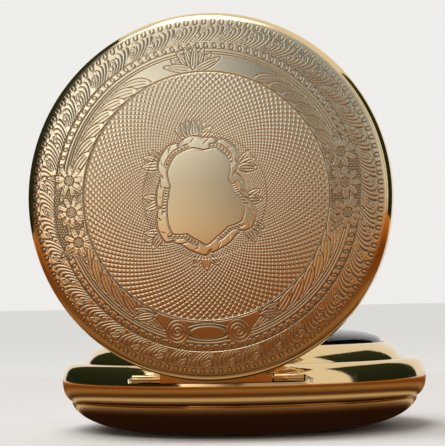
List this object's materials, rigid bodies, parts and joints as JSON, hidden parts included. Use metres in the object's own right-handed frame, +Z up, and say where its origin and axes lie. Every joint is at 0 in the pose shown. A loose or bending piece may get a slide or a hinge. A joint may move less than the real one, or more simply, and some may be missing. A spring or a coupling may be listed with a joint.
{
  "type": "full hunter pocket watch",
  "caption": "Hunter-case pocket watch with a hinged domed front cover, stepped bezel, domed crystal, fluted push crown, swinging bow and quartz movement.",
  "frame": {"origin": "centre of the flat underside of the snap back, where the watch rests", "axes": "+Z up through the crystal, +Y towards the crown at twelve o'clock, -Y towards the cover's hinge at six o'clock, +X towards three o'clock"},
  "size_m": [0.047, 0.0657, 0.0499],
  "materials": {
    "gold_case": "gold-plated brass, polished",
    "gold_cover": "gold-plated brass, chased relief",
    "crystal": "clear, polished",
    "gasket": "matt black",
    "steel": "polished spring steel",
    "nickel": "nickel-plated, satin",
    "movement_brass": "satin brass",
    "holder": "moulded nylon",
    "battery": "nickel-plated can",
    "board": "green solder mask",
    "chip": "black epoxy",
    "copper": "enamelled copper wire",
    "magnet": "sintered magnet",
    "dial": "white enamel",
    "hands": "black lacquer"
  },
  "bodies": {
    "case": {"case_middle": "gold_case", "case_back": "gold_case", "bezel": "gold_case", "crystal": "crystal", "crystal_gasket": "gasket", "hinge_knuckles": "gold_case", "hinge_pin": "steel", "pendant": "gold_case", "bow_screws": "gold_case", "spring_screws": "steel", "movement_holder": "holder", "main_plate": "movement_brass", "train_bridge": "nickel", "bridge_screws": "steel", "battery": "battery", "battery_clamp": "nickel", "clamp_screw": "steel", "circuit_board": "board", "quartz_can": "battery", "chip": "chip", "coil": "copper", "coil_core": "steel", "stator": "steel", "dial": "dial"},
    "cover": {"front_cover": "gold_cover", "cover_knuckle": "gold_cover"},
    "lift_spring": {"lift_spring": "steel"},
    "bow": {"bow": "gold_case"},
    "push_sleeve": {"push_sleeve": "steel"},
    "lock_spring": {"lock_spring": "steel"},
    "stem_slide": {"detent_collar": "steel"},
    "crown": {"crown": "gold_case", "setting_stem": "steel"},
    "setting_lever": {"setting_lever": "steel"},
    "rotor": {"rotor": "magnet"},
    "fifth_wheel": {"fifth_wheel": "movement_brass"},
    "seconds": {"seconds_wheel": "movement_brass", "seconds_hand": "hands", "seconds_cap": "hands"},
    "third_wheel": {"third_wheel": "movement_brass"},
    "centre_wheel": {"centre_wheel": "movement_brass"},
    "cannon": {"cannon_pinion": "steel", "minute_hand": "hands"},
    "minute_wheel": {"minute_wheel": "movement_brass"},
    "hour": {"hour_wheel": "movement_brass", "hour_hand": "hands"},
    "setting_wheel": {"setting_wheel": "steel"}
  },
  "joints": [
    {"name": "cover_hinge", "type": "hinge", "parent": "case", "child": "cover", "pos_m": [0, -0.02126, 0.0073], "axis": [1, 0, 0], "range_deg": [-91, 0], "stiffness_Nm_per_rad": 0.003, "springref_deg": 11.46},
    {"name": "lift_flex", "type": "hinge", "parent": "case", "child": "lift_spring", "pos_m": [-0.01176, -0.01402, 0.0051], "axis": [0, 0, 1], "range_deg": [0, 3.7]},
    {"name": "bow_swing", "type": "hinge", "parent": "case", "child": "bow", "pos_m": [0, 0.0252, 0.0064], "axis": [1, 0, 0], "range_deg": [-60, 115]},
    {"name": "crown_push", "type": "slide", "parent": "case", "child": "push_sleeve", "axis": [0, 1, 0], "range_m": [-0.0006, 0], "stiffness_N_per_m": 1500, "springref_m": 0.0002},
    {"name": "lock_release", "type": "hinge", "parent": "case", "child": "lock_spring", "pos_m": [-0.01176, 0.01402, 0.0051], "axis": [0, 0, 1], "range_deg": [-3.5, 0]},
    {"name": "crown_pull", "type": "slide", "parent": "push_sleeve", "child": "stem_slide", "axis": [0, 1, 0], "range_m": [0, 0.0012]},
    {"name": "crown_turn", "type": "hinge", "parent": "stem_slide", "child": "crown", "pos_m": [0, 0.0288, 0.0064], "axis": [0, 1, 0], "continuous": true},
    {"name": "lever_turn", "type": "hinge", "parent": "case", "child": "setting_lever", "pos_m": [0.0031, 0.0102, 0.0073], "axis": [0, 0, 1], "range_deg": [-23, 0]},
    {"name": "seconds_turn", "type": "hinge", "parent": "case", "child": "seconds", "pos_m": [0, 0, 0.0043], "axis": [0, 0, 1], "continuous": true},
    {"name": "fifth_turn", "type": "hinge", "parent": "case", "child": "fifth_wheel", "pos_m": [0.00304, 0.00082, 0.004], "axis": [0, 0, 1], "continuous": true},
    {"name": "rotor_turn", "type": "hinge", "parent": "case", "child": "rotor", "pos_m": [0.00598, 0.00082, 0.004], "axis": [0, 0, 1], "continuous": true},
    {"name": "third_turn", "type": "hinge", "parent": "case", "child": "third_wheel", "pos_m": [-0.00216, -0.00216, 0.0047], "axis": [0, 0, 1], "continuous": true},
    {"name": "centre_turn", "type": "hinge", "parent": "case", "child": "centre_wheel", "pos_m": [0, 0, 0.005], "axis": [0, 0, 1], "continuous": true},
    {"name": "cannon_turn", "type": "hinge", "parent": "case", "child": "cannon", "pos_m": [0, 0, 0.0068], "axis": [0, 0, 1], "continuous": true},
    {"name": "minute_turn", "type": "hinge", "parent": "case", "child": "minute_wheel", "pos_m": [0, 0.003, 0.0068], "axis": [0, 0, 1], "continuous": true},
    {"name": "hour_turn", "type": "hinge", "parent": "case", "child": "hour", "pos_m": [0, 0, 0.0072], "axis": [0, 0, 1], "continuous": true},
    {"name": "setting_turn", "type": "hinge", "parent": "case", "child": "setting_wheel", "pos_m": [0, 0.00625, 0.0068], "axis": [0, 0, 1], "continuous": true}
  ],
  "couplings": [
    {"joint": "lift_flex", "follows": "cover_hinge", "ratio": -0.03956},
    {"joint": "lock_release", "follows": "crown_push", "rad_per_m": 97.5},
    {"joint": "lever_turn", "follows": "crown_pull", "rad_per_m": -331.2},
    {"joint": "fifth_turn", "follows": "seconds_turn", "ratio": -5},
    {"joint": "rotor_turn", "follows": "seconds_turn", "ratio": 30},
    {"joint": "third_turn", "follows": "seconds_turn", "ratio": -0.13333},
    {"joint": "centre_turn", "follows": "seconds_turn", "ratio": 0.016667},
    {"joint": "minute_turn", "follows": "cannon_turn", "ratio": -0.33333},
    {"joint": "hour_turn", "follows": "cannon_turn", "ratio": 0.083333},
    {"joint": "setting_turn", "follows": "cannon_turn", "ratio": 0.75}
  ]
}
